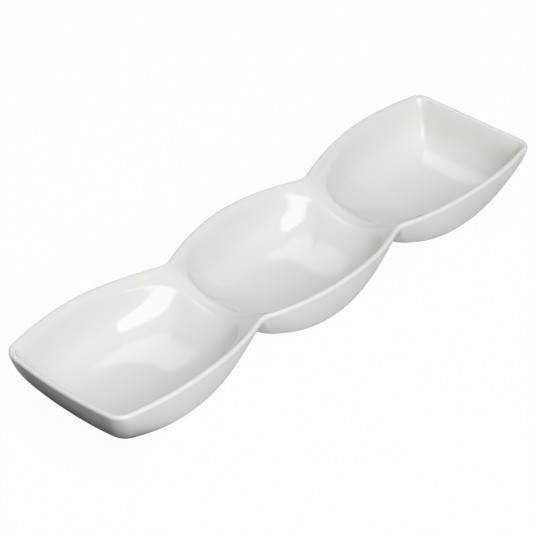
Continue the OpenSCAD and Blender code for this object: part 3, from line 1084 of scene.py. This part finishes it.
def set_normals(mesh: bpy.types.Mesh, normals: Array, skin_faces: int) -> None:
    """Gives the skin of a mesh its own normals and keeps its seams flat.

    Args:
        mesh: The mesh, with its skin before its seams.
        normals: A normal for each of its points.
        skin_faces: How many faces the skin has.
    """
    flat = np.zeros(len(mesh.polygons) * 3)
    mesh.polygons.foreach_get("normal", flat)
    flat = flat.reshape(-1, 3)
    loops = []
    for polygon in mesh.polygons:
        if polygon.index < skin_faces:
            loops += [normals[v] for v in polygon.vertices]
        else:
            loops += [flat[polygon.index]] * len(polygon.vertices)
    mesh.normals_split_custom_set([tuple(n) for n in loops])


def make_object(
    name: str, shell: Shell, normals: Array | None, material: bpy.types.Material
) -> bpy.types.Object:
    """A Blender object from a shell.

    Args:
        name: Name of the object.
        shell: The closed shell.
        normals: A normal for each point, or nothing for Blender's own.
        material: The material of the whole piece.

    Returns:
        The object, linked to the scene.
    """
    points = np.concatenate(shell.points)
    faces = shell.skin + shell.seams
    used = np.unique(np.concatenate([np.array(f) for f in faces]))
    number = np.full(len(points), -1)
    number[used] = np.arange(len(used))
    mesh = bpy.data.meshes.new(name)
    mesh.from_pydata(points[used].tolist(), [], [[int(number[c]) for c in f] for f in faces])
    mesh.update()
    mesh.polygons.foreach_set("use_smooth", [True] * len(mesh.polygons))
    for label, shares in (("lip_share", shell.lip_share), ("pool_share", shell.pool_share)):
        if shares:
            layer = mesh.attributes.new(label, "FLOAT", "POINT")
            layer.data.foreach_set("value", np.concatenate(shares)[used].astype(np.float32))
    if normals is not None:
        set_normals(mesh, normals[used], len(shell.skin))
    mesh.materials.append(material)
    return linked(name, mesh)


class NodeSheet:
    """A node tree with short ways to add and join nodes."""

    # Numbers of a Mix node's sockets for colours
    MIX_COLOURS, MIX_RESULT = (6, 7), 2

    def __init__(self, tree: bpy.types.NodeTree) -> None:
        """Keeps the tree that the nodes go into."""
        self.tree = tree

    def add(self, kind: str, values: dict | None = None, **settings: object) -> bpy.types.Node:
        """Adds a node.

        Args:
            kind: Blender's name for the node type, without the leading ShaderNode.
            values: Values for its input sockets by name or number.
            **settings: Properties of the node.

        Returns:
            The node.
        """
        node = self.tree.nodes.new("ShaderNode" + kind)
        for key, value in settings.items():
            setattr(node, key, value)
        for key, value in (values or {}).items():
            node.inputs[key].default_value = value
        return node

    def join(self, source: Socket, target: Socket) -> None:
        """Joins an output socket to an input socket."""
        self.tree.links.new(source, target)

    def math(
        self, operation: str, first: Socket | float, second: Socket | float | None = None,
        clamp: bool = False,
    ) -> Socket:
        """A Math node whose inputs are sockets or numbers.

        Args:
            operation: What it does.
            first: First input.
            second: Second input.
            clamp: Whether the result stays between 0 and 1.

        Returns:
            The output socket.
        """
        node = self.add("Math", operation=operation, use_clamp=clamp)
        for place, value in enumerate((first, second)):
            if isinstance(value, (int, float)):
                node.inputs[place].default_value = value
            elif value is not None:
                self.join(value, node.inputs[place])
        return node.outputs[0]

    def mixed(self, share: Socket, first: Tone | Socket, second: Tone | Socket) -> Socket:
        """A colour mixed from two.

        Args:
            share: Says how much of the second shows.
            first: First colour.
            second: Second colour.

        Returns:
            The output socket.
        """
        mix = self.add("Mix", data_type="RGBA")
        self.join(share, mix.inputs["Factor"])
        for place, colour in zip(self.MIX_COLOURS, (first, second)):
            if isinstance(colour, tuple):
                mix.inputs[place].default_value = colour
            else:
                self.join(colour, mix.inputs[place])
        return mix.outputs[self.MIX_RESULT]

    def show_mix(self, share: Socket, first: Socket, second: Socket, target: Socket) -> None:
        """Shows a mix of two shaders.

        Args:
            share: Says how much of the second shows.
            first: First shader.
            second: Second shader.
            target: Where the mix goes.
        """
        mix = self.add("MixShader")
        for place, source in enumerate((share, first, second)):
            self.join(source, mix.inputs[place])
        self.join(mix.outputs[0], target)

    def placed(self, group: bpy.types.NodeTree, values: dict[str, float]) -> bpy.types.Node:
        """A group node with values for its inputs."""
        return self.add("Group", values, node_tree=group)


class SurfaceEffects:
    """The shader groups that the finishes share, each built once."""

    # Detail of each noise, and how strong its finer waves are
    WAVE_DETAIL, SKIN_DETAIL, DRIFT_DETAIL = 1.0, 2.0, 3.0
    WAVE_ROUGH, DRIFT_ROUGH = 0.4, 0.5
    MIDDLE = 0.5

    def __init__(self) -> None:
        """Builds the groups."""
        self.kiln_wave = self.build_kiln_wave()
        self.kiln_specks = self.build_kiln_specks()
        self.tone_drift = self.build_tone_drift()

    @staticmethod
    def new_group(
        name: str, inputs: tuple[str, ...], output: str
    ) -> tuple[NodeSheet, bpy.types.Node, bpy.types.Node]:
        """A group with its sockets, which are all numbers.

        Args:
            name: Name of the group.
            inputs: Names of its inputs.
            output: Name of its output.

        Returns:
            The group's node sheet, its input node and its output node.
        """
        group = bpy.data.node_groups.new(name, "ShaderNodeTree")
        for label, way in [(label, "INPUT") for label in inputs] + [(output, "OUTPUT")]:
            group.interface.new_socket(name=label, in_out=way, socket_type="NodeSocketFloat")
        return (
            NodeSheet(group), group.nodes.new("NodeGroupInput"), group.nodes.new("NodeGroupOutput")
        )

    def centred_noise(self, sheet: NodeSheet, scale: Socket, detail: float, rough: float) -> Socket:
        """Noise over the surface that rises and falls around 0.

        Args:
            sheet: The group's nodes.
            scale: Gives the noise its scale.
            detail: How many finer waves it has.
            rough: How strong they are.

        Returns:
            The output socket.
        """
        noise = sheet.add("TexNoise", {"Detail": detail, "Roughness": rough})
        sheet.join(sheet.add("TexCoord").outputs["Object"], noise.inputs["Vector"])
        sheet.join(scale, noise.inputs["Scale"])
        return sheet.math("SUBTRACT", noise.outputs["Fac"], self.MIDDLE)

    def build_kiln_wave(self) -> bpy.types.NodeTree:
        """Slow unevenness of a cast and fired wall, with the finer skin of its glaze.

        Returns:
            The group: its height rises and falls around 0, in metres.
        """
        sheet, given, result = self.new_group(
            "kiln_wave", ("Wave Scale", "Wave Depth", "Skin Scale", "Skin Depth"), "Height"
        )
        heights = []
        for scale, depth, detail in (
            ("Wave Scale", "Wave Depth", self.WAVE_DETAIL),
            ("Skin Scale", "Skin Depth", self.SKIN_DETAIL),
        ):
            centred = self.centred_noise(sheet, given.outputs[scale], detail, self.WAVE_ROUGH)
            heights.append(sheet.math("MULTIPLY", centred, given.outputs[depth]))
        sheet.join(sheet.math("ADD", *heights), result.inputs["Height"])
        return sheet.tree

    def build_kiln_specks(self) -> bpy.types.NodeTree:
        """Rare small specks, such as iron spots and pinholes.

        Returns:
            The group: its mask is 1 in the middle of a speck and 0 away from specks.
        """
        sheet, given, result = self.new_group("kiln_specks", ("Cells", "Size", "Share"), "Mask")
        place = sheet.add("TexCoord").outputs["Object"]
        cells = sheet.add("TexVoronoi", {"Randomness": 1.0}, feature="F1")
        sheet.join(place, cells.inputs["Vector"])
        sheet.join(given.outputs["Cells"], cells.inputs["Scale"])
        near = sheet.math("DIVIDE", cells.outputs["Distance"], given.outputs["Size"])
        spot = sheet.math("SUBTRACT", 1.0, near, clamp=True)
        draw = sheet.add("SeparateColor")
        sheet.join(cells.outputs["Color"], draw.inputs["Color"])
        chosen = sheet.math("LESS_THAN", draw.outputs["Red"], given.outputs["Share"])
        sheet.join(sheet.math("MULTIPLY", spot, chosen), result.inputs["Mask"])
        return sheet.tree

    def build_tone_drift(self) -> bpy.types.NodeTree:
        """Slow drift of a colour between two tones.

        Returns:
            The group: its share drifts between 0 and 1 over the surface.
        """
        sheet, given, result = self.new_group("tone_drift", ("Patch Scale", "Contrast"), "Share")
        centred = self.centred_noise(
            sheet, given.outputs["Patch Scale"], self.DRIFT_DETAIL, self.DRIFT_ROUGH
        )
        stretched = sheet.math("MULTIPLY", centred, given.outputs["Contrast"])
        share = sheet.math("ADD", stretched, self.MIDDLE, clamp=True)
        sheet.join(share, result.inputs["Share"])
        return sheet.tree


@dataclass(frozen=True)
class Finish:
    """What the finishes share: a tone that drifts, rare specks and an uneven skin."""

    label: str
    body: Tone
    drifted: Tone
    speck: Tone
    roughness: float
    far_roughness: float
    patch_scale: float
    patch_contrast: float
    speck_cells: float
    speck_size: float
    speck_share: float
    wave_scale: float
    wave_depth: float
    skin_scale: float
    skin_depth: float
    relief: float

    def toned(self, sheet: NodeSheet, colour: Socket) -> Socket:
        """The body's colour with the finish's own tones laid over it, here none."""
        return colour

    def rough_share(self, sheet: NodeSheet, drift: Socket) -> Socket:
        """How far the roughness goes to its other end, here with the drift of the tone."""
        return drift

    def build(self, effects: SurfaceEffects) -> bpy.types.Material:
        """The material.

        Args:
            effects: The shared shader groups.

        Returns:
            The material.
        """
        material = bpy.data.materials.new(self.label)
        material.use_nodes = True
        sheet = NodeSheet(material.node_tree)
        shader = material.node_tree.nodes["Principled BSDF"]
        drift = sheet.placed(effects.tone_drift, {
            "Patch Scale": self.patch_scale, "Contrast": self.patch_contrast,
        }).outputs["Share"]
        specks = sheet.placed(effects.kiln_specks, {
            "Cells": self.speck_cells, "Size": self.speck_size, "Share": self.speck_share,
        }).outputs["Mask"]
        colour = self.toned(sheet, sheet.mixed(drift, self.body, self.drifted))
        sheet.join(sheet.mixed(specks, colour, self.speck), shader.inputs["Base Color"])
        rough = sheet.add("MapRange", {"To Min": self.roughness, "To Max": self.far_roughness})
        sheet.join(self.rough_share(sheet, drift), rough.inputs["Value"])
        sheet.join(rough.outputs["Result"], shader.inputs["Roughness"])
        wave = sheet.placed(effects.kiln_wave, {
            "Wave Scale": self.wave_scale, "Wave Depth": self.wave_depth,
            "Skin Scale": self.skin_scale, "Skin Depth": self.skin_depth,
        })
        bump = sheet.add("Bump", {"Strength": self.relief, "Distance": 1.0})
        sheet.join(wave.outputs["Height"], bump.inputs["Height"])
        sheet.join(bump.outputs["Normal"], shader.inputs["Normal"])
        return material


@dataclass(frozen=True)
class WhiteGlaze(Finish):
    """Clear glossy glaze over white porcelain, pooled in the bowls and duller on the lip."""

    label: str = "white_glaze"
    body: Tone = (0.815, 0.805, 0.76, 1.0)
    drifted: Tone = (0.81, 0.795, 0.755, 1.0)
    pooled: Tone = (0.79, 0.775, 0.745, 1.0)
    thin: Tone = (0.82, 0.81, 0.785, 1.0)
    thin_strength: float = 0.4
    speck: Tone = (0.35, 0.30, 0.24, 1.0)
    roughness: float = 0.12
    far_roughness: float = 0.15
    refraction: float = 1.46
    patch_scale: float = 11.0
    patch_contrast: float = 1.6
    speck_cells: float = 55.0
    speck_size: float = 0.012
    speck_share: float = 0.10
    wave_scale: float = 16.0
    wave_depth: float = 0.12 * MM
    skin_scale: float = 240.0
    skin_depth: float = 0.0015 * MM
    relief: float = 1.0

    def toned(self, sheet: NodeSheet, colour: Socket) -> Socket:
        """The body's colour, with the tones of pooled glaze and of thin glaze over it.

        Args:
            sheet: The material's nodes.
            colour: The body's colour.

        Returns:
            The colour's socket.
        """
        for label, tone, strength in (
            ("pool_share", self.pooled, 1.0), ("lip_share", self.thin, self.thin_strength)
        ):
            share = sheet.add("Attribute", attribute_name=label).outputs["Fac"]
            colour = sheet.mixed(sheet.math("MULTIPLY", share, strength), colour, tone)
        return colour

    def rough_share(self, sheet: NodeSheet, drift: Socket) -> Socket:
        """How near the lip is, where the glaze is duller."""
        return sheet.add("Attribute", attribute_name="lip_share").outputs["Fac"]

    def build(self, effects: SurfaceEffects) -> bpy.types.Material:
        """The material, with the glaze's own refraction.

        Args:
            effects: The shared shader groups.

        Returns:
            The material.
        """
        material = super().build(effects)
        shader = material.node_tree.nodes["Principled BSDF"]
        shader.inputs["IOR"].default_value = self.refraction
        return material


@dataclass(frozen=True)
class BareClay(Finish):
    """Bare fired clay, ground flat and matt."""

    label: str = "bare_clay"
    body: Tone = (0.74, 0.70, 0.63, 1.0)
    drifted: Tone = (0.60, 0.56, 0.50, 1.0)
    speck: Tone = (0.30, 0.26, 0.22, 1.0)
    roughness: float = 0.75
    far_roughness: float = 0.9
    patch_scale: float = 120.0
    patch_contrast: float = 2.0
    speck_cells: float = 500.0
    speck_size: float = 0.25
    speck_share: float = 0.12
    wave_scale: float = 400.0
    wave_depth: float = 0.04 * MM
    skin_scale: float = 2200.0
    skin_depth: float = 0.02 * MM
    relief: float = 0.8


class ServingBowl:
    """The whole dish: bowls, dividers and foot rings, built, dressed and tied to the frame."""

    def __init__(self) -> None:
        """Reads the form from the frame and makes the finishes."""
        self.form = DishForm.from_frame()
        effects = SurfaceEffects()
        self.glaze = WhiteGlaze().build(effects)
        self.clay = BareClay().build(effects)

    def build(self) -> list[bpy.types.Object]:
        """Builds every piece.

        Returns:
            The pieces.
        """
        shells = DishShells(self.form)
        end_bowl, divider = shells.bowl(BowlKind.END), shells.divider()
        skin = {
            "left_bowl": end_bowl.mirrored(), "middle_bowl": shells.bowl(BowlKind.MIDDLE),
            "right_bowl": end_bowl, "left_divider": divider.mirrored(), "right_divider": divider,
        }
        pieces = []
        for (node, shell), normals in zip(skin.items(), skin_normals(list(skin.values()))):
            piece = make_object(node + "_glazed", shell, normals, self.glaze)
            pieces.append(self.tied(piece, node, RecordSlot.WHITE_GLAZE))
        end_ring, middle_ring = (
            FootRing(self.form, self.form.plans[kind]).shell()
            for kind in (BowlKind.END, BowlKind.MIDDLE)
        )
        rings = {
            "left_foot_ring": end_ring.mirrored(), "middle_foot_ring": middle_ring,
            "right_foot_ring": end_ring,
        }
        for node, shell in rings.items():
            piece = make_object(node + "_bare", shell, None, self.clay)
            pieces.append(self.tied(piece, node, RecordSlot.BARE_CLAY))
        return pieces

    @staticmethod
    def tied(piece: bpy.types.Object, node: str, slot: RecordSlot) -> bpy.types.Object:
        """Ties a piece to the frame in place of a node.

        Args:
            piece: The piece.
            node: The node that it stands for.
            slot: The record's slot for its finish; not used.

        Returns:
            The piece.
        """
        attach(piece, BODY)
        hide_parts(node)
        return piece


@dataclass(frozen=True)
class SoftBox:
    """A studio lamp with a soft oval face."""

    name: str
    azimuth: float
    elevation: float
    distance: float
    width: float
    height: float
    power: float
    tone: tuple[float, float, float] = (1.0, 1.0, 1.0)

    def place(self, target: Vector) -> None:
        """Hangs the lamp so that it faces the target.

        Args:
            target: What it lights.
        """
        lamp = bpy.data.lights.new(self.name, "AREA")
        lamp.shape = "ELLIPSE"
        lamp.size, lamp.size_y = self.width, self.height
        lamp.energy, lamp.color = self.power, self.tone
        holder = linked(self.name, lamp)
        holder.location = target + direction(self.azimuth, self.elevation) * self.distance
        holder.rotation_euler = (target - holder.location).to_track_quat("-Z", "Y").to_euler()


def direction(azimuth: float, elevation: float) -> Vector:
    """The way from the dish at an azimuth from +X and an elevation, in degrees."""
    a, e = math.radians(azimuth), math.radians(elevation)
    return Vector((math.cos(e) * math.cos(a), math.cos(e) * math.sin(a), math.sin(e)))


@dataclass(frozen=True)
class Studio:
    """Camera, floor, backdrop and soft light."""

    camera_azimuth: float = -137.85
    camera_elevation: float = 36.15
    camera_distance: float = 1366.4 * MM
    camera_right: float = -10.9 * MM
    camera_up: float = -14.9 * MM
    aim_height: float = 38.5 * MM
    lens: float = 151.8
    sensor: float = 36.0
    floor_size: float = 6.0
    room_light: float = 0.235
    floor_tone: float = 0.66
    floor_glow: float = 0.97
    floor_sheen: float = 0.12
    # Painted shade: a dark patch of floor beside the near end, which only the dish's rays see,
    # darkens that end of the dish
    painted_shade_tone: float = 0.02
    painted_shade_start: float = 66.0 * MM
    painted_shade_edge: float = 30.0 * MM
    painted_shade_taper: float = 1.7
    floor_roughness: float = 0.9
    clip_end: float = 20.0
    lamps: tuple[SoftBox, ...] = (
        SoftBox("key_softbox", -116.7, 39.8, 1.5, 1.40, 1.28, 18.5, (0.95, 0.965, 1.0)),
        SoftBox("top_softbox", 63.3, 63.7, 1.5, 1.04, 0.96, 4.9),
    )

    def hang_lamps(self) -> None:
        """Hangs the softboxes round the dish."""
        for lamp in self.lamps:
            lamp.place(Vector((0.0, 0.0, self.aim_height)))

    def set_camera(self) -> None:
        """Sets the camera at the photograph's angle."""
        back = direction(self.camera_azimuth, self.camera_elevation)
        right = Vector((0.0, 0.0, 1.0)).cross(back).normalized()
        up = back.cross(right)
        place = right * self.camera_right + up * self.camera_up + back * self.camera_distance
        place.z += self.aim_height
        camera = bpy.data.cameras.new("photo_camera")
        camera.sensor_width, camera.lens, camera.clip_end = self.sensor, self.lens, self.clip_end
        holder = linked("photo_camera", camera)
        holder.matrix_world = Matrix((
            (right.x, up.x, back.x, place.x), (right.y, up.y, back.y, place.y),
            (right.z, up.z, back.z, place.z), (0.0, 0.0, 0.0, 1.0),
        ))
        bpy.context.scene.camera = holder

    @staticmethod
    def background_rays(sheet: NodeSheet) -> tuple[Socket, Socket]:
        """Which rays show the white background: those of the camera and those off glass and glaze.

        Args:
            sheet: The nodes of a floor or a world.

        Returns:
            A socket that is 1 for camera rays, and one that is 1 for glossy and transmission rays.
        """
        rays = sheet.add("LightPath")
        mirrored = sheet.math(
            "MAXIMUM", rays.outputs["Is Glossy Ray"], rays.outputs["Is Transmission Ray"]
        )
        return rays.outputs["Is Camera Ray"], mirrored

    def painted_shade_share(self, sheet: NodeSheet) -> Socket:
        """Where painted shade lies on the floor beside the near end, dark to every ray but the
        camera's, which darkens that end of the dish.

        Args:
            sheet: The floor's nodes.

        Returns:
            A socket that is 1 on the cloth.
        """
        place = sheet.add("SeparateXYZ")
        sheet.join(sheet.add("TexCoord").outputs["Object"], place.inputs[0])
        aside = sheet.math(
            "MULTIPLY", sheet.math("ABSOLUTE", place.outputs["Y"]), self.painted_shade_taper
        )
        past = sheet.math("SUBTRACT", sheet.math("MULTIPLY", place.outputs["X"], -1.0), aside)
        inside = sheet.math("SUBTRACT", past, self.painted_shade_start)
        return sheet.math("DIVIDE", inside, self.painted_shade_edge, clamp=True)

    def lay_floor(self) -> None:
        """Lays a pale floor that shows white to the camera and keeps the dish's shadow."""
        half = self.floor_size / 2
        mesh = bpy.data.meshes.new("floor")
        mesh.from_pydata(
            [(-half, -half, 0.0), (half, -half, 0.0), (half, half, 0.0), (-half, half, 0.0)], [],
            [(0, 1, 2, 3)],
        )
        material = bpy.data.materials.new("pale_floor")
        material.use_nodes = True
        sheet = NodeSheet(material.node_tree)
        shader = material.node_tree.nodes["Principled BSDF"]
        shader.inputs["Roughness"].default_value = self.floor_roughness
        camera, mirrored = self.background_rays(sheet)
        # Painted shade: beside the near end the floor is dark to the dish's rays and plain floor to
        # the camera
        bare = sheet.math("SUBTRACT", 1.0, self.painted_shade_share(sheet))
        shown = sheet.math("MAXIMUM", bare, camera)
        tones = [(tone, tone, tone, 1.0) for tone in (self.painted_shade_tone, self.floor_tone)]
        sheet.join(sheet.mixed(shown, *tones), shader.inputs["Base Color"])
        seen = sheet.math("MULTIPLY", camera, self.floor_glow)
        sheen = sheet.math("MULTIPLY", sheet.math("MULTIPLY", mirrored, bare), self.floor_sheen)
        glow = sheet.add("Emission", {"Strength": 1.0})
        sheet.show_mix(
            sheet.math("MAXIMUM", seen, sheen), shader.outputs[0], glow.outputs[0],
            material.node_tree.nodes["Material Output"].inputs["Surface"],
        )
        mesh.materials.append(material)
        floor = linked("floor", mesh)

    def light_room(self) -> None:
        """Lights the room evenly, with white behind the dish for the camera and the glaze."""
        world = bpy.data.worlds.new("studio")
        bpy.context.scene.world = world
        world.use_nodes = True
        sheet = NodeSheet(world.node_tree)
        room = world.node_tree.nodes["Background"]
        room.inputs["Color"].default_value = WHITE
        room.inputs["Strength"].default_value = self.room_light
        white = sheet.add("Background", {"Color": WHITE, "Strength": 1.0})
        sheet.show_mix(
            sheet.math("MAXIMUM", *self.background_rays(sheet)), room.outputs[0], white.outputs[0],
            world.node_tree.nodes["World Output"].inputs["Surface"],
        )

    def build(self) -> None:
        """Builds the whole studio."""
        self.set_camera()
        self.lay_floor()
        self.light_room()
        self.hang_lamps()
        bpy.context.scene.view_settings.view_transform = "Standard"


def main() -> None:
    """Builds the studio and the dish, and reports each piece."""
    logging.basicConfig(level=logging.INFO, format="%(name)s: %(message)s")
    Studio().build()
    for piece in ServingBowl().build():
        LOG.info("%s: %d faces", piece.name, len(piece.data.polygons))


if __name__ == "__main__":
    main()
